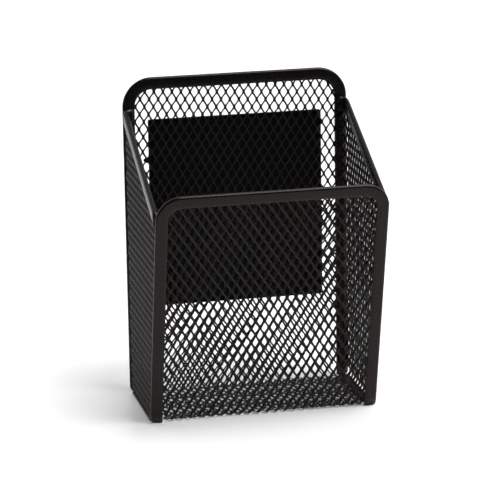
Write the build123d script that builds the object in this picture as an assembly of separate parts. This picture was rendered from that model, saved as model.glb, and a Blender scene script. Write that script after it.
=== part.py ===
from build123d import *
import os
from math import ceil, cos, radians, sin, tan

# A magnetic wall pocket of black expanded metal, in millimetres.
# The body is one strip of mesh bent into back, bottom and leaning front, closed by two bent side panels.
# Folded steel strips cover every open edge, and a magnet sheet is glued behind the back.
# It is drawn with the middle of the back mesh on the plane Y = 0, and then moved to its own origin.

# Overall size
WIDTH = 108.0
BACK_HEIGHT = 152.4
FRONT_HEIGHT = 113.4
BASE_DEPTH = 54.0
FRONT_LEAN = 14.0

# Folded edge strips
STRIP_FACE = 5.7
STRIP_THICKNESS = 2.4
STRIP_METAL = 0.75
BACK_CORNER = 14.0
FRONT_CORNER = 12.0
FOOT_CORNER = 2.5

# Sloping side edges
SIDE_HEIGHT_AT_BACK = 139.3
SIDE_SLOPE = 24.6
SIDE_PROUD = 0.4
FLANGE_REACH = 4.9
SIDE_BEND = 2.5
BOTTOM_BEND = 1.5
BOTTOM_FLANGE = 6.0

# Expanded metal
MESH_THICKNESS = 0.8
CELL_WIDTH = 4.31
CELL_HEIGHT = 7.22
BOND_WIDTH = 0.8
BOND_HEIGHT = 1.3
OPENING_SIDE = 0.7
STRIP_TWIST = 3.4
STRIP_BEND = 2.5
MESH_LIP = 1.0
SOLID_MARGIN = 0.5

# Magnet sheet and its glue
MAGNET_WIDTH = 83.4
MAGNET_HEIGHT = 90.6
MAGNET_LOW_EDGE = 41.2
MAGNET_THICKNESS = 1.6
MAGNET_CORNER = 1.0
GLUE_THICKNESS = 0.3
GLUE_INSET = 2.0

# Gap kept between neighbouring pieces, and a size larger than any cut needs
GAP = 0.05
FAR = 400.0

half_width = WIDTH / 2
half_mesh = MESH_THICKNESS / 2
half_strip = STRIP_THICKNESS / 2
half_slot = half_strip - STRIP_METAL
lean_sine = sin(radians(FRONT_LEAN))
lean_cosine = cos(radians(FRONT_LEAN))
front_foot = half_strip - BASE_DEPTH + half_strip * lean_cosine
front_floor = half_strip * lean_sine
mesh_inset = half_strip + 2 * GAP
side_middle = half_width + SIDE_PROUD - half_strip

back_plane = Plane.XZ
front_plane = Plane(
    origin=(0, front_foot, front_floor),
    x_dir=(1, 0, 0),
    z_dir=(0, -lean_cosine, -lean_sine),
)

# The bottom mesh lies on the floor, and its bends are tangent to the back and to the front.
front_turn = radians(90 - FRONT_LEAN)
front_tangent = STRIP_BEND * tan(front_turn / 2)
front_crease = front_foot - (half_mesh - front_floor) * lean_sine / lean_cosine
back_mesh_start = half_mesh + STRIP_BEND + MESH_LIP
front_mesh_start = (half_mesh - front_floor) / lean_cosine + front_tangent + MESH_LIP
bottom_length = -front_crease - STRIP_BEND - front_tangent
back_mesh_top = BACK_HEIGHT - mesh_inset
front_rim_height = FRONT_HEIGHT / lean_cosine
front_mesh_top = front_rim_height - mesh_inset

# Distances along the unbent strip, from the top of the back
strip_bottom_start = back_mesh_top - half_mesh - STRIP_BEND + STRIP_BEND * radians(90)
strip_front_start = strip_bottom_start + bottom_length + STRIP_BEND * front_turn + MESH_LIP


def opening(centre, angle, flip=1):
    """One six-sided opening of the mesh, with its long way up, turned by angle."""
    side = (CELL_WIDTH - BOND_WIDTH) / 2
    tip = (CELL_HEIGHT - BOND_HEIGHT) / 2
    step = OPENING_SIDE / 2
    corners = [(side, step), (0, tip), (-side, step), (-side, -step), (0, -tip), (side, -step)]
    c, s = cos(radians(angle)), sin(radians(angle))
    return [(centre[0] + x * c - y * s, centre[1] + flip * (x * s + y * c)) for x, y in corners]


def cell_centres(angle, reach):
    """Middles of the openings, in staggered rows turned by angle, out to reach on every side."""
    c, s = cos(radians(angle)), sin(radians(angle))
    count = ceil(reach / CELL_WIDTH)
    for row in range(-count, count + 1):
        for column in range(-count, count + 1):
            x = (column + row % 2 / 2) * CELL_WIDTH
            y = row * CELL_HEIGHT / 2
            yield x * c - y * s, x * s + y * c


def perforated(outline, openings, room):
    """A sheet of this outline, with every opening that lies clear inside room."""
    holes = [Wire.make_polygon(points) for points in openings if all(room(x, y) for x, y in points)]
    sheet = Face(outline.face().outer_wire(), holes)
    return extrude(sheet, amount=half_mesh, both=True)


def arched(width, low, high, corner):
    """A flat outline with two rounded upper corners."""
    outline = Pos(0, (low + high) / 2) * Rectangle(width, high - low)
    return fillet(outline.vertices().group_by(Axis.Y)[-1], corner)


def arched_room(width, low, high, corner):
    """A test for points that are at least the solid margin inside an arched outline."""
    side = width / 2 - SOLID_MARGIN
    top = high - SOLID_MARGIN
    radius = corner - SOLID_MARGIN

    def room(x, y):
        across = abs(x) - (side - radius)
        up = y - (top - radius)
        in_corner = across > 0 and up > 0
        return abs(x) < side and low < y < top and not (in_corner and across**2 + up**2 > radius**2)

    return room


def strip_panel(low, high, corner, to_panel, flip):
    """One upright panel of the strip, its openings placed by their distance along the strip."""
    width = WIDTH - 2 * mesh_inset
    radius = corner - mesh_inset
    cells = [
        opening((x, to_panel(along)), STRIP_TWIST, flip)
        for x, along in cell_centres(STRIP_TWIST, FAR)
        if low < to_panel(along) < high
    ]
    room = arched_room(width, low, high, radius)
    return perforated(arched(width, low, high, radius), cells, room)


def back_mesh():
    def up_the_back(along):
        return back_mesh_top - along

    panel = strip_panel(back_mesh_start, back_mesh_top, BACK_CORNER, up_the_back, -1)
    return back_plane.location * panel


def front_mesh():
    def up_the_front(along):
        return front_mesh_start + along - strip_front_start

    panel = strip_panel(front_mesh_start, front_mesh_top, FRONT_CORNER, up_the_front, 1)
    return front_plane.location * panel


def bottom_mesh():
    """The flat bottom, which is wider than the bends on either side of it."""
    near, far = -STRIP_BEND - bottom_length, -STRIP_BEND
    full_half = side_middle + half_mesh
    cells = [
        opening((x, far + strip_bottom_start - along), STRIP_TWIST, -1)
        for x, along in cell_centres(STRIP_TWIST, FAR)
        if strip_bottom_start < along < strip_bottom_start + bottom_length
    ]

    def room(x, y):
        return abs(x) < full_half - SOLID_MARGIN and near < y < far

    outline = Pos(0, (near + far) / 2) * Rectangle(2 * full_half, far - near)
    return Pos(0, 0, half_mesh) * perforated(outline, cells, room)


def strip_bends():
    """The strip's front bend and its back bend, which are narrow enough to pass between the feet."""
    middle = -STRIP_BEND - bottom_length / 2
    bend_half = half_width - STRIP_FACE - SOLID_MARGIN
    lip_end = front_plane.from_local_coords((0, front_mesh_start, 0))
    profile = FilletPolyline(
        (0, back_mesh_start),
        (0, half_mesh),
        (front_crease, half_mesh),
        (lip_end.Y, lip_end.Z),
        radius=STRIP_BEND,
    )
    tray = extrude(Plane.YZ * trace(profile, MESH_THICKNESS), amount=bend_half, both=True)
    bends = tray - Pos(0, middle, half_mesh) * Box(2 * bend_half, bottom_length, 2 * MESH_THICKNESS)
    return bends.solids().sort_by(Axis.Y)


def folded_section():
    """The U-shaped section of a folded strip: round fold at x = 0, open towards +x."""
    whole = Pos(half_strip, 0) * Circle(half_strip)
    whole += Pos((half_strip + STRIP_FACE) / 2, 0) * Rectangle(STRIP_FACE - half_strip, STRIP_THICKNESS)
    slot = Pos(half_strip, 0) * Circle(half_slot)
    slot += Pos((half_strip + STRIP_FACE) / 2, 0) * Rectangle(STRIP_FACE - half_strip, 2 * half_slot)
    return whole - slot


def rim(height, corner):
    """A folded strip bent into an upside-down U, standing on two rounded feet."""
    path = FilletPolyline(
        (-half_width, 0),
        (-half_width, height),
        (half_width, height),
        (half_width, 0),
        radius=corner,
    )
    start = Plane(origin=(-half_width, 0, 0), x_dir=(1, 0, 0), z_dir=(0, 1, 0))
    bent = sweep(start * folded_section(), path=path)
    foot_outline = Pos(0, height) * Rectangle(2 * half_width, 2 * height)
    foot_outline = fillet(foot_outline.vertices().group_by(Axis.Y)[0], FOOT_CORNER)
    return bent & extrude(foot_outline, amount=STRIP_THICKNESS, both=True)


def under_slope(drop):
    """Everything below the sloping side edge, lowered by drop, measured square to the edge."""
    rise = tan(radians(SIDE_SLOPE))
    top = SIDE_HEIGHT_AT_BACK - drop / cos(radians(SIDE_SLOPE))
    profile = Polygon((0, -FAR), (0, top), (-FAR, top - rise * FAR), (-FAR, -FAR), align=None)
    return extrude(Plane.YZ * profile, amount=FAR, both=True)


def behind_front(depth):
    """Everything further in than depth behind the middle of the front panel."""
    return front_plane.location * Pos(0, 0, -depth - FAR) * Box(2 * FAR, 2 * FAR, 2 * FAR)


def above(height):
    return Pos(0, 0, height + FAR / 2) * Box(FAR, FAR, FAR)


def side_path(front_end):
    """The bend of the right side panel seen from above: along the side, then onto the back."""
    flange_end = half_width - FLANGE_REACH
    return FilletPolyline(
        (side_middle, front_end),
        (side_middle, -STRIP_THICKNESS),
        (flange_end, -STRIP_THICKNESS),
        radius=SIDE_BEND,
    )


def side_outline():
    """The flat of the side panel between its bends, as corners in Y and Z."""
    rise = tan(radians(SIDE_SLOPE))
    top = SIDE_HEIGHT_AT_BACK - mesh_inset / cos(radians(SIDE_SLOPE))
    low = MESH_THICKNESS + half_mesh + GAP + BOTTOM_BEND
    back = -STRIP_THICKNESS - SIDE_BEND
    inset = half_strip + half_mesh + GAP + SIDE_BEND
    front_line = front_foot + (inset + front_floor * lean_sine) / lean_cosine
    lean = lean_sine / lean_cosine
    front_top = (top + rise * front_line) / (1 + rise * lean)
    return [
        (back, low),
        (back, top + rise * back),
        (front_line - lean * front_top, front_top),
        (front_line - lean * low, low),
    ]


def inside_corners(corners, margin):
    """A test for points at least margin inside a convex outline given clockwise or not."""
    middle = (sum(y for y, _ in corners) / len(corners), sum(z for _, z in corners) / len(corners))
    edges = list(zip(corners, corners[1:] + corners[:1]))

    def distance(point, start, end):
        along = Vector(end[0] - start[0], end[1] - start[1]).normalized()
        return along.X * (point[1] - start[1]) - along.Y * (point[0] - start[0])

    signs = [1 if distance(middle, *edge) > 0 else -1 for edge in edges]
    return lambda y, z: all(s * distance((y, z), *edge) > margin for s, edge in zip(signs, edges))


def side_mesh():
    """The right side panel: a flat with openings, and flanges on the back, the front and the bottom."""
    corners = side_outline()
    low = corners[0][1]
    middle_y, middle_z = (corners[0][0] + corners[3][0]) / 2, corners[1][1] / 2
    cells = [opening((middle_y + y, middle_z + z), 0) for y, z in cell_centres(0, FAR / 2)]
    flat = perforated(Polygon(*corners, align=None), cells, inside_corners(corners, SOLID_MARGIN))
    flat = Pos(side_middle, 0, 0) * Plane.YZ.location * flat

    back_end = corners[0][0]
    bend_and_flange = extrude(trace(side_path(back_end - MESH_LIP), MESH_THICKNESS), amount=FAR)
    past_flat = Pos(0, back_end + FAR / 2) * Box(FAR, FAR, 3 * FAR)
    back_flange = bend_and_flange & past_flat & under_slope(mesh_inset) & above(low)

    inset = half_strip + half_mesh + GAP
    section = FilletPolyline(
        (side_middle, -inset - SIDE_BEND - MESH_LIP),
        (side_middle, -inset),
        (half_width - FLANGE_REACH, -inset),
        radius=SIDE_BEND,
    )
    flange_top = front_plane.to_local_coords(Vector(0, *corners[2])).Y - 2 * STRIP_FACE
    front_flange = extrude(Plane.XZ * trace(section, MESH_THICKNESS), amount=-flange_top)
    front_flange = front_flange & above(-inset - SIDE_BEND)
    front_flange = (front_plane.location * front_flange) & above(low)

    floor_level = MESH_THICKNESS + half_mesh + GAP
    fold = FilletPolyline(
        (side_middle, low + MESH_LIP),
        (side_middle, floor_level),
        (half_width - BOTTOM_FLANGE, floor_level),
        radius=BOTTOM_BEND,
    )
    bottom_run = back_end - corners[3][0] - 2 * SIDE_BEND
    bottom_flange = extrude(Plane.XZ * trace(fold, MESH_THICKNESS), amount=bottom_run / 2, both=True)
    bottom_flange = Pos(0, (back_end + corners[3][0]) / 2, 0) * bottom_flange
    bottom_flange = bottom_flange - above(low)
    return flat + back_flange + front_flange + bottom_flange


def side_rail():
    """The folded strip on the right sloping edge, carried round the bend onto the back flange."""
    reach = -2 * BASE_DEPTH
    whole = extrude(trace(side_path(reach), STRIP_THICKNESS), amount=FAR) & under_slope(0)
    whole = whole & behind_front(half_strip + GAP)
    crest = [edge for edge in whole.edges() if is_on_crest(edge)]
    whole = fillet(crest, half_strip - GAP)
    slot = extrude(trace(side_path(reach), 2 * half_slot), amount=FAR) & under_slope(STRIP_METAL)
    return whole - slot - under_slope(STRIP_FACE)


def is_on_crest(edge):
    """True for an edge that runs along the top of the sloping side, and not across the strip."""
    rise = tan(radians(SIDE_SLOPE))
    ends = [edge @ 0, edge @ 0.5, edge @ 1]
    on_top = all(abs(SIDE_HEIGHT_AT_BACK + rise * point.Y - point.Z) < GAP for point in ends)
    return on_top and edge.length > SIDE_BEND - half_strip


def magnet_face(width, height):
    middle = MAGNET_LOW_EDGE + MAGNET_HEIGHT / 2
    return Pos(0, middle) * RectangleRounded(width, height, MAGNET_CORNER)


def magnet_glue():
    size = (MAGNET_WIDTH - 2 * GLUE_INSET, MAGNET_HEIGHT - 2 * GLUE_INSET)
    film = extrude(magnet_face(*size), amount=-GLUE_THICKNESS)
    return back_plane.location * Pos(0, 0, -half_mesh) * film


def magnet_sheet():
    sheet = extrude(magnet_face(MAGNET_WIDTH, MAGNET_HEIGHT), amount=-MAGNET_THICKNESS)
    return back_plane.location * Pos(0, 0, -half_mesh - GLUE_THICKNESS) * sheet


def assembly():
    """Every piece by name, drawn about the back plane."""
    panel, rail = side_mesh(), side_rail()
    front_bend, back_bend = strip_bends()
    return {
        "back_mesh": back_mesh(),
        "back_bend_mesh": back_bend,
        "bottom_mesh": bottom_mesh(),
        "front_bend_mesh": front_bend,
        "front_mesh": front_mesh(),
        "right_side_mesh": panel,
        "left_side_mesh": mirror(panel, about=Plane.YZ),
        "back_rim": back_plane.location * rim(BACK_HEIGHT, BACK_CORNER),
        "front_rim": front_plane.location * rim(front_rim_height, FRONT_CORNER),
        "right_side_rail": rail,
        "left_side_rail": mirror(rail, about=Plane.YZ),
        "magnet_adhesive": magnet_glue(),
        "magnet_sheet": magnet_sheet(),
    }


pieces = assembly()
extent = Compound(children=[Compound(piece.solids()) for piece in pieces.values()]).bounding_box()
to_origin = Pos(-extent.center().X, -extent.center().Y, -extent.min.Z)
os.makedirs("parts", exist_ok=True)
for name, piece in pieces.items():
    export_step(to_origin * piece, f"parts/{name}.step", write_pcurves=False)
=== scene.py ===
from math import atan2, cos, hypot, pi, radians, sin, sqrt, tan

import bmesh
import bpy
from mathutils import Matrix, Vector, noise


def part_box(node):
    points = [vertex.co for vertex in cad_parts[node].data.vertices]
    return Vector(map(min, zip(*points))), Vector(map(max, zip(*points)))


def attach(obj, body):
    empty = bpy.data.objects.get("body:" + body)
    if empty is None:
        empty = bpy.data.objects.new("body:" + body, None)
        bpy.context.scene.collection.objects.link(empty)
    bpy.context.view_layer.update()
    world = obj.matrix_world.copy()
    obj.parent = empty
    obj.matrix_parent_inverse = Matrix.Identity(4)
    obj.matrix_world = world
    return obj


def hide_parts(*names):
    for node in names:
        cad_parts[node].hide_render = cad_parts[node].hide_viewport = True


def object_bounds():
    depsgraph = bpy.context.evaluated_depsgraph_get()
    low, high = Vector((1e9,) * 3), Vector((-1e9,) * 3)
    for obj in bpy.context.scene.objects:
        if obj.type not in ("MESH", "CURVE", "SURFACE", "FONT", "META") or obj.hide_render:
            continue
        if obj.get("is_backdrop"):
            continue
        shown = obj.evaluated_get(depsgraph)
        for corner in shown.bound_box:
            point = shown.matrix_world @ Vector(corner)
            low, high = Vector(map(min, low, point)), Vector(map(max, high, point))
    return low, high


# A black expanded-metal wall pocket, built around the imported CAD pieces.
# Lengths are in millimetres until a piece becomes a Blender mesh, which is in metres.
MM = 0.001

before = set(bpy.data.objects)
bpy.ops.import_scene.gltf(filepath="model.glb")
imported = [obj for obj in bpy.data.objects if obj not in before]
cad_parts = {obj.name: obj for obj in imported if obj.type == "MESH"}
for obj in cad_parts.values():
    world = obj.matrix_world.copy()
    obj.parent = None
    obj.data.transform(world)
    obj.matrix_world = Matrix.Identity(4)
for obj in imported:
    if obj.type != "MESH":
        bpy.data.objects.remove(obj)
cad_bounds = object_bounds()

# Folded edge strips
FRONT_LEAN = radians(14.0)
STRIP_FACE = 5.7
STRIP_METAL = 0.75
LIP_REACH = 1.5
LIP_DROP = 0.3
BACK_CORNER = 14.0
FRONT_CORNER = 12.0
FOOT_CORNER = 2.5
SIDE_SLOPE = radians(24.6)
FOLD_STEPS = 12
LIP_STEPS = 4
LEG_STEPS = 24
CORNER_STEPS = 16
TOP_STEPS = 16
RAIL_STEPS = 26
RAIL_BEND_STEPS = 10
SIDE_HEIGHT_AT_BACK = 139.3
LIP_ROUNDING = 0.22 * STRIP_METAL

# Expanded metal: bonds in staggered rows, joined by slanted ribbons
CELL_WIDTH = 4.31
CELL_HEIGHT = 7.22
BOND_LENGTH = 1.3
RIBBON_WIDTH = 0.90
RIBBON_MIDDLE = 1.60
RIBBON_THICKNESS = 0.44
RIBBON_TILT = radians(37.0)
SIDE_TILT = {"left": radians(-45.0), "right": radians(13.0)}
RIBBON_LEAN = atan2(CELL_WIDTH / 2 - RIBBON_WIDTH * cos(RIBBON_TILT), CELL_HEIGHT / 2 - BOND_LENGTH)
LATTICE_JITTER = 0.03
JITTER_SCALE = 0.35
# Shares of a ribbon's length: left where the sheet is cut, and where it runs on into the next piece
CUT_SHARE = 0.38
JOIN_SHARE = 0.64

# The bent strip and the side panels
MESH_THICKNESS = 0.8
STRIP_TWIST = radians(3.4)
STRIP_BEND = 2.5
SIDE_BEND = 2.5
BOTTOM_BEND = 1.5
BOTTOM_FLANGE = 6.0
# A bond of the strip's lattice, and a bond of each side's, measured in their flat sheets
LATTICE_ORIGIN = (2.71, 2.64)
SIDE_ORIGIN = {"left": (10.0, 60.0), "right": (10.0, 60.0)}
# The lattice is squeezed by this much over the length of the bottom
LATTICE_SLACK = 3.6
# The bottom stands this much above its CAD height, which fades out this far up the back and the front
SHEET_LIFT = 0.2
LIFT_FADE = 12.0
# The folded strips press the mesh to this share of its depth, which comes back over this distance
PRESSED_FLAT = 0.72
PRESS_FADE = 4.0
# Where the openings stop: near the bends, inside the folded strips, and below the rails
BEND_CLEAR = 3.0
HIDDEN_CUT = 0.5
RAIL_CUT = 0.9
# Solid margins beside the bottom and round the bottom bend of each side
BAND_WIDTH = 1.5
BAND_STATIONS = 14
BAND_START = 1.3
BAND_GAP = 0.4
BAND_THICKNESS = 0.7
# The clear distance between neighbouring CAD pieces, and how far the mesh's flanges stay short of theirs
GAP = 0.05
FLANGE_MARGIN = 0.3
BOTTOM_FLANGE_MARGIN = 0.4
BOTTOM_SIDE_MARGIN = 0.9
BEND_SIDE_MARGIN = 1.0
STRIP_INSET = 0.1
# The rails: where their plain length starts behind the front, and how far they run past the CAD on the back
RAIL_START = 4.0
RAIL_END = 0.2
# Uneven folding of the strips
WAVE = 0.12
WAVE_SCALE = 0.06
SEED = 20
noise.seed_set(SEED)


def box_mm(node):
    low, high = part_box(node)
    return low / MM, high / MM


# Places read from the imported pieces
back_low, back_high = box_mm("back_rim")
front_high = box_mm("front_rim")[1]
rail_low, rail_high = box_mm("right_side_rail")
sheet_low = box_mm("magnet_sheet")[0]
glue_low = box_mm("magnet_adhesive")[0]
half_width = back_high.x
half_strip = (back_high.y - back_low.y) / 2
back_y = (back_high.y + back_low.y) / 2
back_height = back_high.z
front_foot_y = front_high.y - half_strip * cos(FRONT_LEAN)
front_foot_z = half_strip * sin(FRONT_LEAN)
front_length = (front_high.z - front_foot_z - half_strip * sin(FRONT_LEAN)) / cos(FRONT_LEAN)
half_mesh = MESH_THICKNESS / 2
side_x = rail_high.x - half_strip
slope_rise = tan(SIDE_SLOPE)
flange_end = rail_low.x

front_up = Vector((0, -sin(FRONT_LEAN), cos(FRONT_LEAN)))
front_inward = Vector((0, cos(FRONT_LEAN), sin(FRONT_LEAN)))
front_foot = Vector((0, front_foot_y, front_foot_z))


# ---------------------------------------------------------------- camera

def make_camera():
    """The viewpoint: a long lens, above and to the left of the pocket."""
    data = bpy.data.cameras.new("camera")
    data.sensor_width = 36.0
    data.lens = 207.1
    data.clip_end = 20.0
    camera = bpy.data.objects.new("camera", data)
    right = Vector((0.97551, -0.21939, -0.01563)).normalized()
    forward = Vector((0.20851, 0.94509, -0.25165)).normalized()
    up = right.cross(forward)
    turn = Matrix((right, up, -forward)).transposed().to_4x4()
    place = (-0.28085, -1.26111, 0.41178)
    camera.matrix_world = Matrix.Translation(place) @ turn
    bpy.context.collection.objects.link(camera)
    bpy.context.scene.camera = camera


# ---------------------------------------------------------------- stage and light

def make_floor():
    """A satin white table top, in metres. Out of the camera's view it ends in front and on the left,
    so that the pocket's left side mirrors a dark room."""
    left, right, near, far = -0.24, 2.5, -0.42, 3.5
    corners = [(left, near, 0), (right, near, 0), (right, far, 0), (left, far, 0)]
    mesh = bpy.data.meshes.new("table_top")
    mesh.from_pydata(corners, [], [(0, 1, 2, 3)])
    floor = bpy.data.objects.new("table_top", mesh)
    bpy.context.collection.objects.link(floor)
    material = bpy.data.materials.new("table_white")
    material.use_nodes = True
    shader = material.node_tree.nodes["Principled BSDF"]
    shader.inputs["Base Color"].default_value = (0.96, 0.96, 0.96, 1)
    shader.inputs["Roughness"].default_value = 0.35
    shader.inputs["IOR"].default_value = 1.42
    mesh.materials.append(material)
    floor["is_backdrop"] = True


def area_light(name, place, aim, size, power):
    data = bpy.data.lights.new(name, "AREA")
    data.shape = "RECTANGLE"
    data.size, data.size_y = size
    data.energy = power
    light = bpy.data.objects.new(name, data)
    light.location = place
    light.rotation_euler = (Vector(aim) - Vector(place)).to_track_quat("-Z", "Y").to_euler()
    bpy.context.collection.objects.link(light)


def make_lights():
    """A wide overhead light, a little to the right, so that shadows are soft and fall to the left."""
    data = bpy.data.lights.new("overhead_light", "SUN")
    data.energy = 3.5
    data.angle = radians(42)
    light = bpy.data.objects.new("overhead_light", data)
    towards_light = Vector((0.42, -0.28, 1.0))
    light.rotation_euler = towards_light.to_track_quat("Z", "Y").to_euler()
    bpy.context.collection.objects.link(light)
    area_light("right_softbox", (1.6, -0.3, 0.8), (0, 0, 0.1), (0.9, 1.2), 3)


def make_world():
    """White light from behind the pocket, which fades to a dark room on the camera's side."""
    world = bpy.data.worlds.new("studio")
    world.use_nodes = True
    nodes, links = world.node_tree.nodes, world.node_tree.links
    output = nodes["World Output"]
    room = nodes["Background"]
    direction = nodes.new("ShaderNodeTexCoord")
    split = nodes.new("ShaderNodeSeparateXYZ")
    links.new(direction.outputs["Generated"], split.inputs["Vector"])
    ramp = nodes.new("ShaderNodeMapRange")
    ramp.interpolation_type = "SMOOTHSTEP"
    ramp.inputs["From Min"].default_value = -0.1
    ramp.inputs["From Max"].default_value = 0.7
    ramp.inputs["To Min"].default_value = 0.08
    ramp.inputs["To Max"].default_value = 1.0
    links.new(split.outputs["Y"], ramp.inputs["Value"])
    links.new(ramp.outputs["Result"], room.inputs["Strength"])
    room.inputs["Color"].default_value = (1, 1, 1, 1)
    backdrop = nodes.new("ShaderNodeBackground")
    backdrop.inputs["Color"].default_value = (1, 1, 1, 1)
    backdrop.inputs["Strength"].default_value = 1.0
    path = nodes.new("ShaderNodeLightPath")
    mix = nodes.new("ShaderNodeMixShader")
    links.new(path.outputs["Is Camera Ray"], mix.inputs["Fac"])
    links.new(room.outputs["Background"], mix.inputs[1])
    links.new(backdrop.outputs["Background"], mix.inputs[2])
    links.new(mix.outputs["Shader"], output.inputs["Surface"])
    bpy.context.scene.world = world
    bpy.context.scene.view_settings.view_transform = "Standard"


# ---------------------------------------------------------------- materials

COAT_DARK = (0.0028, 0.0022, 0.0020)
COAT_LIGHT = (0.0050, 0.0040, 0.0036)
RUBBER_DARK = (0.0010, 0.0008, 0.0008)
RUBBER_LIGHT = (0.0024, 0.0019, 0.0018)
GLUE_LIGHT = (0.0024, 0.0020, 0.0018)
# How much paler than the light coat tone the painted edge highlight is.
EDGE_HIGHLIGHT_GAIN = 2.2
RUBBER_GLOSS = 0.12


def value_noise(nodes, links, coordinates, scale, detail=2.0):
    texture = nodes.new("ShaderNodeTexNoise")
    texture.inputs["Scale"].default_value = scale
    texture.inputs["Detail"].default_value = detail
    links.new(coordinates, texture.inputs["Vector"])
    return texture.outputs["Fac"]


def remap(nodes, links, value, low, high, start=0.35, end=0.65):
    ramp = nodes.new("ShaderNodeMapRange")
    ramp.inputs["From Min"].default_value = start
    ramp.inputs["From Max"].default_value = end
    ramp.inputs["To Min"].default_value = low
    ramp.inputs["To Max"].default_value = high
    links.new(value, ramp.inputs["Value"])
    return ramp.outputs["Result"]


def mixed_colour(nodes, links, factor, first, second):
    mix = nodes.new("ShaderNodeMix")
    mix.data_type = "RGBA"
    links.new(factor, mix.inputs["Factor"])
    first_in, second_in = mix.inputs[6], mix.inputs[7]
    for socket, colour in ((first_in, first), (second_in, second)):
        if isinstance(colour, tuple):
            socket.default_value = (*colour, 1)
        else:
            links.new(colour, socket)
    return mix.outputs[2]


def powder_coat(name, dark, light, roughness, grain_height):
    """Satin black powder coat: orange peel, cloudy gloss, and a painted highlight that makes sharp edges a
    little paler.
    """
    material = bpy.data.materials.new(name)
    material.use_nodes = True
    nodes, links = material.node_tree.nodes, material.node_tree.links
    shader = nodes["Principled BSDF"]
    place = nodes.new("ShaderNodeTexCoord").outputs["Object"]
    clouds = value_noise(nodes, links, place, 60, 4)
    peel = value_noise(nodes, links, place, 1600, 3)
    speck = value_noise(nodes, links, place, 5200, 1)
    tone = mixed_colour(nodes, links, remap(nodes, links, clouds, 0, 1), dark, light)
    # Painted highlight: sharp convex edges are mixed towards a paler colour, standing in for light catching
    # the edges.
    edge = nodes.new("ShaderNodeNewGeometry").outputs["Pointiness"]
    painted_edge_highlight_mask = remap(nodes, links, edge, 0, 0.35, 0.53, 0.62)
    painted_edge_highlight_colour = tuple(EDGE_HIGHLIGHT_GAIN * channel for channel in light)
    colour = mixed_colour(nodes, links, painted_edge_highlight_mask, tone, painted_edge_highlight_colour)
    links.new(colour, shader.inputs["Base Color"])
    shader.inputs["IOR"].default_value = 1.30
    shader.inputs["Specular Tint"].default_value = (1.0, 0.88, 0.85, 1)
    low, high = roughness
    links.new(remap(nodes, links, peel, low, high), shader.inputs["Roughness"])
    bump = nodes.new("ShaderNodeBump")
    bump.inputs["Distance"].default_value = grain_height * MM
    bump.inputs["Strength"].default_value = 0.5
    both = nodes.new("ShaderNodeMath")
    both.operation = "MULTIPLY_ADD"
    both.inputs[1].default_value = 0.35
    links.new(speck, both.inputs[0])
    links.new(peel, both.inputs[2])
    links.new(both.outputs["Value"], bump.inputs["Height"])
    links.new(bump.outputs["Normal"], shader.inputs["Normal"])
    return material


def magnet_rubber():
    """Matt charcoal rubber with a fine calendered grain and dusty patches."""
    material = bpy.data.materials.new("magnet_rubber_matt")
    material.use_nodes = True
    nodes, links = material.node_tree.nodes, material.node_tree.links
    shader = nodes["Principled BSDF"]
    place = nodes.new("ShaderNodeTexCoord").outputs["Object"]
    patches = value_noise(nodes, links, place, 45, 5)
    grain = value_noise(nodes, links, place, 2600, 2)
    colour = mixed_colour(nodes, links, remap(nodes, links, patches, 0, 1), RUBBER_DARK, RUBBER_LIGHT)
    links.new(colour, shader.inputs["Base Color"])
    links.new(remap(nodes, links, patches, 0.62, 0.78), shader.inputs["Roughness"])
    shader.inputs["Specular IOR Level"].default_value = RUBBER_GLOSS
    bump = nodes.new("ShaderNodeBump")
    bump.inputs["Distance"].default_value = 0.03 * MM
    bump.inputs["Strength"].default_value = 0.6
    links.new(grain, bump.inputs["Height"])
    links.new(bump.outputs["Normal"], shader.inputs["Normal"])
    return material


def dark_glue():
    """Black rubbery glue, smooth and slightly glossy where it squeezed out."""
    material = bpy.data.materials.new("glue_black")
    material.use_nodes = True
    nodes, links = material.node_tree.nodes, material.node_tree.links
    shader = nodes["Principled BSDF"]
    place = nodes.new("ShaderNodeTexCoord").outputs["Object"]
    ripples = value_noise(nodes, links, place, 380, 3)
    colour = mixed_colour(nodes, links, remap(nodes, links, ripples, 0, 1), RUBBER_DARK, GLUE_LIGHT)
    links.new(colour, shader.inputs["Base Color"])
    links.new(remap(nodes, links, ripples, 0.42, 0.6), shader.inputs["Roughness"])
    shader.inputs["Specular IOR Level"].default_value = RUBBER_GLOSS
    bump = nodes.new("ShaderNodeBump")
    bump.inputs["Distance"].default_value = 0.06 * MM
    bump.inputs["Strength"].default_value = 0.5
    links.new(ripples, bump.inputs["Height"])
    links.new(bump.outputs["Normal"], shader.inputs["Normal"])
    return material


# ---------------------------------------------------------------- pieces

def make_piece(name, points, faces, material, nodes, subdivide=0):
    """A mesh piece from points in millimetres, standing for some CAD nodes."""
    mesh = bpy.data.meshes.new(name)
    mesh.from_pydata([tuple(MM * c for c in point) for point in points], [], faces)
    mesh.validate()
    mesh.polygons.foreach_set("use_smooth", [True] * len(mesh.polygons))
    mesh.materials.append(material)
    piece = bpy.data.objects.new(name, mesh)
    bpy.context.collection.objects.link(piece)
    if subdivide:
        rounding = piece.modifiers.new("rounding", "SUBSURF")
        rounding.levels = subdivide
        rounding.render_levels = subdivide
    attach(piece, "root")
    if nodes:
        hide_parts(*nodes)
    return piece


def face_outwards(piece):
    """Turns all of a piece's faces outwards."""
    work = bmesh.new()
    work.from_mesh(piece.data)
    bmesh.ops.recalc_face_normals(work, faces=work.faces)
    work.to_mesh(piece.data)
    work.free()


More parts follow.
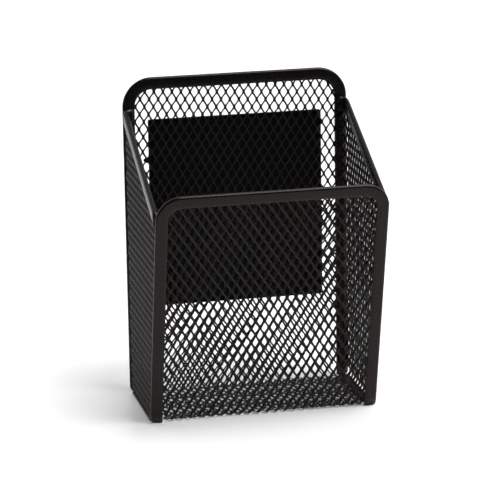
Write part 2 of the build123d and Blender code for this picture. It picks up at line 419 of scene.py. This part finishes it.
class Lattice:
    """Expanded metal: bonds in staggered rows, each joined to four others by tilted ribbons.

    Across and up are measured in the flat sheet, and depth is square to it. Every bond is two ribbons
    side by side, which part above and below it. Place takes a point of the flat sheet to its real place.
    """

    def __init__(self, angle, tilt, origin, inside, place, goes_on=None):
        self.angle = angle
        self.tilt = tilt
        self.origin = origin
        self.inside = inside
        self.place = place
        self.goes_on = goes_on or inside
        self.points = []
        self.faces = []
        self.rings = {}

    def turned(self, x, y):
        """A vector of the lattice's own directions, in the sheet's."""
        c, s = cos(self.angle), sin(self.angle)
        return x * c - y * s, x * s + y * c

    def centre(self, column, row):
        """The middle of a bond. Odd rows are shifted by half a cell."""
        x = (column + row % 2 / 2) * CELL_WIDTH
        y = row * CELL_HEIGHT / 2
        uneven = noise.noise_vector(Vector((x, y, SEED)) * JITTER_SCALE) * LATTICE_JITTER
        across, up = self.turned(x + uneven.x, y + uneven.y)
        return self.origin[0] + across, self.origin[1] + up

    def ring(self, across, up, width, count, lean=0.0):
        """A section of the sheet metal: pairs of front and back points, from left to right."""
        c, s = cos(self.tilt), sin(self.tilt)
        turn_c, turn_s = cos(self.angle + lean), sin(self.angle + lean)
        first = len(self.points)
        for index in range(count):
            along = (index / (count - 1) - 0.5) * width
            for face in (RIBBON_THICKNESS / 2, -RIBBON_THICKNESS / 2):
                x = along * c + face * s
                depth = face * c - along * s
                self.points.append(self.place(across + x * turn_c, up + x * turn_s, depth))
        return list(range(first, len(self.points)))

    def skin(self, low, high):
        """The sides between two sections: along their front points, and back along their back points."""
        count = len(low)
        outline = [*range(0, count, 2), *range(count - 1, 0, -2)]
        for here, there in zip(outline, outline[1:] + outline[:1]):
            self.faces.append((low[here], low[there], high[there], high[here]))

    def bond(self, column, row):
        """One bond: its upper and lower sections, whose middle pair of points both ribbons share."""
        across, up = self.centre(column, row)
        for end in (-1, 1):
            step = self.turned(0, end * BOND_LENGTH / 2)
            self.rings[column, row, end] = self.ring(across + step[0], up + step[1], 2 * RIBBON_WIDTH, 3)
        self.skin(self.rings[column, row, -1], self.rings[column, row, 1])

    def half(self, bond, end, side):
        """The four points of a bond's section that its left or right ribbon leaves from."""
        ring = self.rings[*bond, end]
        return ring[:4] if side < 0 else ring[2:]

    def ribbon(self, bond, end, side):
        """A ribbon from a bond's upper or lower end to the next bond, or a short cut end."""
        column, row = bond
        other = (column + row % 2 + (side - 1) // 2, row + end)
        if other in self.members and end < 0:
            return
        start, stop = self.centre(*bond), self.centre(*other)
        lean = -side * end * RIBBON_LEAN
        near = self.half(bond, end, side)
        if other in self.members:
            middle = self.ring((start[0] + stop[0]) / 2, (start[1] + stop[1]) / 2, RIBBON_MIDDLE, 2, lean)
            self.skin(near, middle)
            self.skin(middle, self.half(other, -end, -side))
            return
        share = JOIN_SHARE if self.goes_on(*stop) else CUT_SHARE
        across = start[0] + (stop[0] - start[0]) * share
        up = start[1] + (stop[1] - start[1]) * share
        cut = self.ring(across, up, RIBBON_WIDTH, 2, lean)
        if end > 0:
            self.skin(near, cut)
            self.faces.append((cut[0], cut[2], cut[3], cut[1]))
        else:
            self.skin(cut, near)
            self.faces.append((cut[0], cut[1], cut[3], cut[2]))

    def build(self, columns, rows):
        cells = [(column, row) for row in range(*rows) for column in range(*columns)]
        self.members = {cell for cell in cells if self.inside(*self.centre(*cell))}
        for cell in cells:
            if cell in self.members:
                self.bond(*cell)
        for cell in cells:
            if cell in self.members:
                for end in (-1, 1):
                    for side in (-1, 1):
                        self.ribbon(cell, end, side)
        return self.points, self.faces


def lattice_piece(name, nodes, lattice, columns, rows):
    points, faces = lattice.build(columns, rows)
    piece = make_piece(name, points, faces, coated_mesh, nodes, subdivide=1)
    face_outwards(piece)


# ---------------------------------------------------------------- the bent strip of mesh

strip_inset = half_strip + STRIP_INSET
back_top = back_height - strip_inset
front_turn = pi / 2 - FRONT_LEAN
front_tangent = STRIP_BEND * tan(front_turn / 2)
front_crease = back_y - front_foot_y + (half_mesh - front_foot_z) * tan(FRONT_LEAN)
bottom_run = front_crease - STRIP_BEND - front_tangent
back_bend_start = back_top - half_mesh - STRIP_BEND
bottom_start = back_bend_start + STRIP_BEND * pi / 2
bottom_end = bottom_start + bottom_run
front_start = bottom_end + STRIP_BEND * front_turn
front_bend_height = (half_mesh - front_foot_z) / cos(FRONT_LEAN) + front_tangent


def along_strip(up):
    """The real distance from the top of the back, from the lattice's own distance."""
    distance = -up
    share = (distance - bottom_start) / (bottom_run + LATTICE_SLACK)
    return distance - LATTICE_SLACK * min(max(share, 0), 1)


def pressed(depth, free):
    """Depth in the sheet, which the folded strips press flat where they hold it."""
    share = min(max(free / PRESS_FADE, 0), 1)
    return depth * (PRESSED_FLAT + (1 - PRESSED_FLAT) * share * share * (3 - 2 * share))


def place_on_strip(across, up, depth):
    """The strip runs down the back, round to the bottom, and up the leaning front."""
    distance = along_strip(up)
    end = front_start - front_bend_height + front_length
    free = min(distance + half_strip, end - distance, half_width - abs(across)) - STRIP_FACE
    rise = max(bottom_start - STRIP_BEND - distance, distance - bottom_end - STRIP_BEND, 0)
    lift = SHEET_LIFT * max(1 - rise / LIFT_FADE, 0)
    depth = pressed(depth, free)
    radius = STRIP_BEND - depth
    if distance < back_bend_start:
        return across, back_y - depth, back_top - distance + lift
    if distance < bottom_start:
        turn = (distance - back_bend_start) / STRIP_BEND
        return (
            across,
            back_y - STRIP_BEND + radius * cos(turn),
            half_mesh + lift + STRIP_BEND - radius * sin(turn),
        )
    if distance < bottom_end:
        return across, back_y - STRIP_BEND - (distance - bottom_start), half_mesh + lift + depth
    bend_y = back_y - STRIP_BEND - bottom_run
    if distance < front_start:
        turn = (distance - bottom_end) / STRIP_BEND
        return across, bend_y - radius * sin(turn), half_mesh + lift + STRIP_BEND - radius * cos(turn)
    height = front_bend_height + distance - front_start
    point = front_foot + front_up * height + front_inward * depth
    return across, point.y, point.z + lift


def inside_arch(across, up, half, top, corner):
    """True inside an upright outline with two rounded upper corners."""
    past = abs(across) - (half - corner)
    over = up - (top - corner)
    in_corner = past > 0 and over > 0
    return abs(across) < half and up < top and not (in_corner and hypot(past, over) > corner)


def in_back(across, up):
    distance = along_strip(up)
    height = back_top - distance
    if distance > bottom_start:
        return False
    if height < BEND_CLEAR:
        return abs(across) < half_width - STRIP_FACE - BEND_SIDE_MARGIN
    cut = half_strip + HIDDEN_CUT
    return inside_arch(across, height, half_width - cut, back_height - cut, BACK_CORNER - cut)


def in_bottom(across, up):
    distance = along_strip(up)
    return bottom_start < distance <= bottom_end and abs(across) < side_x - BOTTOM_SIDE_MARGIN


def in_front(across, up):
    distance = along_strip(up)
    height = front_bend_height + distance - front_start
    if distance <= bottom_end:
        return False
    if height < BEND_CLEAR:
        return abs(across) < half_width - STRIP_FACE - BEND_SIDE_MARGIN
    cut = half_strip + HIDDEN_CUT
    return inside_arch(across, height, half_width - cut, front_length - cut, FRONT_CORNER - cut)


def in_strip(across, up):
    """True anywhere on the bent strip, so that its three pieces run on into each other."""
    return in_back(across, up) or in_bottom(across, up) or in_front(across, up)


def bottom_band(hand):
    """The solid margin along the bottom's left or right edge, drawn across the strip."""
    outer, inner = side_x + half_mesh, side_x + half_mesh - BAND_WIDTH

    def place(y, x, depth):
        return hand * x, y, half_mesh + depth

    def near(x):
        return back_y - STRIP_BEND - bottom_run

    def far(x):
        return back_y - STRIP_BEND

    return solid_band(place, near, far, inner, outer, BAND_THICKNESS, 3)


def make_strip():
    columns = (-26, 27)
    for name, nodes, inside in (
        ("back_expanded_mesh", ["back_mesh", "back_bend_mesh"], in_back),
        ("bottom_expanded_mesh", ["bottom_mesh"], in_bottom),
        ("front_expanded_mesh", ["front_mesh", "front_bend_mesh"], in_front),
    ):
        lattice = Lattice(-STRIP_TWIST, RIBBON_TILT, LATTICE_ORIGIN, inside, place_on_strip, in_strip)
        if nodes == ["bottom_mesh"]:
            for hand in (-1, 1):
                add_band(lattice, bottom_band(hand))
        lattice_piece(name, nodes, lattice, columns, (-96, 4))


# ---------------------------------------------------------------- side panels

side_floor = MESH_THICKNESS + half_mesh + GAP
side_low = side_floor + BOTTOM_BEND
side_back = back_y - 2 * half_strip - SIDE_BEND
flange_gap = half_strip + half_mesh + GAP
side_mouth = SIDE_HEIGHT_AT_BACK - half_strip / cos(SIDE_SLOPE)


def behind_front(y, z):
    """How far a point of the side lies behind the middle of the front panel."""
    return (y - front_foot_y) * cos(FRONT_LEAN) + (z - front_foot_z) * sin(FRONT_LEAN)


def place_on_side(hand):
    def place(y, z, depth):
        """The side panel's flat, with a flange bent inwards on the back, the front and the bottom."""
        radius = SIDE_BEND + depth
        flange = side_x - SIDE_BEND
        behind = behind_front(y, z) - flange_gap - SIDE_BEND
        if z < side_low:
            radius = BOTTOM_BEND + depth
            turn = min((side_low - z) / BOTTOM_BEND, pi / 2)
            rest = side_low - z - turn * BOTTOM_BEND
            point = (side_x - BOTTOM_BEND + radius * cos(turn) - rest, y, side_low - radius * sin(turn))
        elif y > side_back:
            turn = min((y - side_back) / SIDE_BEND, pi / 2)
            rest = y - side_back - turn * SIDE_BEND
            point = (flange + radius * cos(turn) - rest, side_back + radius * sin(turn), z)
        elif behind < 0:
            turn = min(-behind / SIDE_BEND, pi / 2)
            rest = -behind - turn * SIDE_BEND
            out = radius * sin(turn) + behind
            point = (
                flange + radius * cos(turn) - rest,
                y - out * cos(FRONT_LEAN),
                z - out * sin(FRONT_LEAN),
            )
        else:
            point = (side_x + depth, y, z)
        return hand * point[0], point[1], point[2]

    return place


def in_side(y, z):
    """The side panel's outline, with its flanges laid flat."""
    back_flange = side_x - SIDE_BEND - flange_end + SIDE_BEND * pi / 2
    bottom_flange = side_x - BOTTOM_BEND - (half_width - BOTTOM_FLANGE) + BOTTOM_BEND * pi / 2
    under_rail = z < side_mouth - slope_rise * (back_y - min(y, back_y - 2 * half_strip)) - RAIL_CUT
    behind = behind_front(y, z) - flange_gap - SIDE_BEND
    if y > side_back:
        return y - side_back < back_flange - FLANGE_MARGIN and side_low < z and under_rail
    if behind < 0:
        top = front_foot_z + (front_length - 3 * STRIP_FACE) * cos(FRONT_LEAN)
        return -behind < back_flange - FLANGE_MARGIN and side_low < z < top and under_rail
    return z > side_low - bottom_flange + BOTTOM_FLANGE_MARGIN and under_rail


def solid_band(place, start, stop, low, high, thickness, steps=10):
    """A plain band along a sheet's edge. Start and stop give its ends at each height of the flat sheet."""
    rise = [low + (high - low) * step / steps for step in range(steps + 1)]
    loop = [(z, thickness / 2) for z in rise] + [(z, -thickness / 2) for z in reversed(rise)]
    points = []
    for station in range(BAND_STATIONS):
        share = station / (BAND_STATIONS - 1)
        for z, depth in loop:
            points.append(place(start(z) + (stop(z) - start(z)) * share, z, depth))
    faces = tube_faces(BAND_STATIONS, len(loop))
    faces += end_faces(len(loop), 0, False)
    faces += end_faces(len(loop), (BAND_STATIONS - 1) * len(loop), True)
    return points, faces


def add_band(lattice, band):
    """Puts a solid margin into the same piece as the lattice."""
    first = len(lattice.points)
    points, faces = band
    lattice.points += points
    lattice.faces += [tuple(first + index for index in face) for face in faces]


def side_band(place):
    """The solid margin of a side panel, round its bottom bend and under the pocket."""
    def front_edge(z):
        reach = flange_gap + SIDE_BEND - (z - front_foot_z) * sin(FRONT_LEAN)
        return front_foot_y + reach / cos(FRONT_LEAN) + BAND_GAP

    def back_edge(z):
        return side_back

    flange = side_x - BOTTOM_BEND - (half_width - BOTTOM_FLANGE) + BOTTOM_BEND * pi / 2
    low, high = side_low - flange, side_low - BAND_START
    return solid_band(place, front_edge, back_edge, low, high, BAND_THICKNESS)


def make_sides():
    for name, hand in (("left", -1), ("right", 1)):
        origin = SIDE_ORIGIN[name]
        place = place_on_side(hand)
        lattice = Lattice(0.0, SIDE_TILT[name], origin, in_side, place)
        add_band(lattice, side_band(place))
        lattice_piece(f"{name}_side_expanded_mesh", [f"{name}_side_mesh"], lattice, (-20, 21), (-20, 30))


# ---------------------------------------------------------------- folded strips

def strip_section():
    """The folded strip's section as a closed loop: distance from the fold, and distance from the middle.

    Its outer side goes from one lip round the fold to the other lip, and its inner side comes back.
    """
    outer = []
    inner = []
    for step in range(LIP_STEPS + 1):
        share = 1 - step / LIP_STEPS
        reach = STRIP_FACE - (1 - share) * LIP_REACH
        drop = LIP_DROP * share**2
        outer.append((reach, half_strip - drop))
        inner.append((reach, half_strip - drop - STRIP_METAL))
    for step in range(1, FOLD_STEPS + 1):
        turn = pi / 2 * step / FOLD_STEPS
        outer.append((half_strip - half_strip * sin(turn), half_strip * cos(turn)))
        slot = half_strip - STRIP_METAL
        inner.append((half_strip - slot * sin(turn), slot * cos(turn)))
    outer += [(d, -n) for d, n in reversed(outer[:-1])]
    inner += [(d, -n) for d, n in reversed(inner[:-1])]
    return round_lips(outer, inner, LIP_ROUNDING)


def round_lips(outer, inner, lip):
    """Joins the outer and inner sides with a rounded lip at each end."""
    def cap(start, end):
        d = (start[0] + end[0]) / 2
        return [
            (d - lip * 0.3, start[1] + (end[1] - start[1]) * 0.02),
            (d, start[1] + (end[1] - start[1]) * 0.25),
            (d, start[1] + (end[1] - start[1]) * 0.75),
            (d - lip * 0.3, start[1] + (end[1] - start[1]) * 0.98),
        ]

    first = cap(inner[0], outer[0])
    last = cap(outer[-1], inner[-1])
    trimmed_outer = [(d - lip if i in (0, len(outer) - 1) else d, n) for i, (d, n) in enumerate(outer)]
    trimmed_inner = [(d - lip if i in (0, len(inner) - 1) else d, n) for i, (d, n) in enumerate(inner)]
    loop = first + trimmed_outer + last + trimmed_inner[::-1]
    # The loop starts in the middle of the first lip, so that its two halves are the strip's two sides.
    middle = len(first) // 2
    return loop[middle:] + loop[:middle]


def rim_path(half, height, corner):
    """Points and inward directions along an upside-down U, from its left foot to its right foot."""
    stations = []
    for step in range(LEG_STEPS + 1):
        stations.append(((-half, (height - corner) * step / LEG_STEPS), (1, 0)))
    for step in range(1, CORNER_STEPS + 1):
        turn = pi / 2 * step / CORNER_STEPS
        place = (-half + corner - corner * cos(turn), height - corner + corner * sin(turn))
        stations.append((place, (cos(turn), -sin(turn))))
    left_half = list(stations)
    for step in range(1, TOP_STEPS):
        stations.append(((-half + corner + (2 * half - 2 * corner) * step / TOP_STEPS, height), (0, -1)))
    stations += [((-x, z), (-in_x, in_z)) for (x, z), (in_x, in_z) in reversed(left_half)]
    return stations


def tube_faces(rings, count):
    faces = []
    for ring in range(rings - 1):
        for index in range(count):
            following = (index + 1) % count
            low, high = ring * count, (ring + 1) * count
            faces.append((low + index, low + following, high + following, high + index))
    return faces


def end_faces(count, first, flip):
    """Closes one end of a strip, whose loop runs out along one side and back along the other."""
    faces = []
    for step in range(count // 2 - 1):
        quad = [first + step, first + step + 1, first + count - 2 - step, first + count - 1 - step]
        faces.append(tuple(reversed(quad)) if flip else tuple(quad))
    return faces


def make_rim(name, node, height, corner, to_frame):
    """A folded strip bent into an upside-down U, with the outer corners of its feet rounded off."""
    section = strip_section()
    stations = rim_path(half_width, height, corner)
    points = []
    for index, ((x, z), (in_x, in_z)) in enumerate(stations):
        wave = noise.noise_vector(Vector((x, z, half_strip)) * WAVE_SCALE) * WAVE
        for depth, across in section:
            px, pz = x + in_x * depth, z + in_z * depth
            if index in (0, len(stations) - 1) and depth < FOOT_CORNER:
                pz = FOOT_CORNER - sqrt(FOOT_CORNER**2 - (FOOT_CORNER - depth) ** 2)
            flat = max(0.0, min(1.0, (depth - half_strip) / half_strip)) * min(1.0, pz / FOOT_CORNER)
            points.append(to_frame(px, pz, across - wave.y * flat))
    count = len(section)
    faces = tube_faces(len(stations), count)
    faces += end_faces(count, 0, False) + end_faces(count, (len(stations) - 1) * count, True)
    face_outwards(make_piece(name, points, faces, coated_strip, [node]))


def on_back(x, z, across):
    return x, back_y - across, z


def on_front(x, z, across):
    point = front_foot + front_up * z - front_inward * across
    return x, point.y, point.z


def rail_stations():
    """Points and outward directions along the side's edge seen from above, and on to the back flange."""
    flange = side_x - SIDE_BEND
    stations = [((side_x, None), (1, 0))]
    start = rail_low.y + RAIL_START
    for step in range(RAIL_STEPS + 1):
        stations.append(((side_x, start + (side_back - start) * step / RAIL_STEPS), (1, 0)))
    for step in range(1, RAIL_BEND_STEPS + 1):
        turn = pi / 2 * step / RAIL_BEND_STEPS
        place = (flange + SIDE_BEND * cos(turn), side_back + SIDE_BEND * sin(turn))
        stations.append((place, (cos(turn), sin(turn))))
    stations.append(((flange_end + RAIL_END, side_back + SIDE_BEND), (0, 1)))
    return stations


def make_rail(name, node, hand):
    """The folded strip on a side's sloping edge. It turns the corner on to the back."""
    section = strip_section()
    stations = rail_stations()
    points = []
    for (x, y), (out_x, out_y) in stations:
        for depth, across in section:
            drop = depth / cos(SIDE_SLOPE)
            if y is None:
                # This end is cut along the back of the front strip.
                px = x + across
                top = SIDE_HEIGHT_AT_BACK - slope_rise * back_y - drop
                reach = half_strip + GAP
                py = reach - top * sin(FRONT_LEAN)
                py += front_foot_y * cos(FRONT_LEAN) + front_foot_z * sin(FRONT_LEAN)
                py /= cos(FRONT_LEAN) + slope_rise * sin(FRONT_LEAN)
            else:
                px, py = x + out_x * across, y + out_y * across
            pz = SIDE_HEIGHT_AT_BACK - slope_rise * (back_y - py) - drop
            points.append((hand * px, py, pz))
    count = len(section)
    faces = tube_faces(len(stations), count)
    faces += end_faces(count, 0, False) + end_faces(count, (len(stations) - 1) * count, True)
    face_outwards(make_piece(name, points, faces, coated_strip, [node]))


def make_squeeze_out():
    """A lump of glue, pushed out past the magnet's left edge into two openings of the mesh."""
    middle = Vector((sheet_low.x - 1.1, glue_low.y - 0.25, sheet_low.z + 71.5))
    half_size = Vector((1.7, 0.62, 1.35))
    unevenness, lump_scale = 0.22, 1.6
    rings, sectors = 12, 20
    points = []
    faces = []
    for ring in range(1, rings):
        for sector in range(sectors):
            polar, turn = pi * ring / rings, 2 * pi * sector / sectors
            ray = Vector((sin(polar) * cos(turn), cos(polar), sin(polar) * sin(turn)))
            lump = 1 + unevenness * noise.noise(ray * lump_scale)
            points.append(middle + Vector([lump * r * s for r, s in zip(ray, half_size)]))
    points += [middle + Vector((0, half_size.y, 0)), middle - Vector((0, half_size.y, 0))]
    faces += tube_faces(rings - 1, sectors)
    last = (rings - 2) * sectors
    for sector in range(sectors):
        following = (sector + 1) % sectors
        faces.append((following, sector, len(points) - 2))
        faces.append((last + sector, last + following, len(points) - 1))
    face_outwards(make_piece("glue_squeeze_out", points, faces, glue, [], subdivide=1))


make_camera()
make_floor()
make_lights()
make_world()
coated_mesh = powder_coat("coat_on_mesh", COAT_DARK, COAT_LIGHT, (0.30, 0.42), 0.02)
coated_strip = powder_coat("coat_on_strip", COAT_DARK, COAT_LIGHT, (0.22, 0.32), 0.015)
rubber = magnet_rubber()
glue = dark_glue()
make_strip()
make_sides()
make_rim("back_folded_rim", "back_rim", back_height, BACK_CORNER, on_back)
make_rim("front_folded_rim", "front_rim", front_length, FRONT_CORNER, on_front)
make_rail("left_folded_rail", "left_side_rail", -1)
make_rail("right_folded_rail", "right_side_rail", 1)
make_squeeze_out()
for node, material in (("magnet_sheet", rubber), ("magnet_adhesive", glue)):
    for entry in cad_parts[node].material_slots:
        entry.material = material

visual_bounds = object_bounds()
boxes = {"cad": cad_bounds, "visual": visual_bounds}
{k: [list(corner) for corner in box] for k, box in boxes.items()}
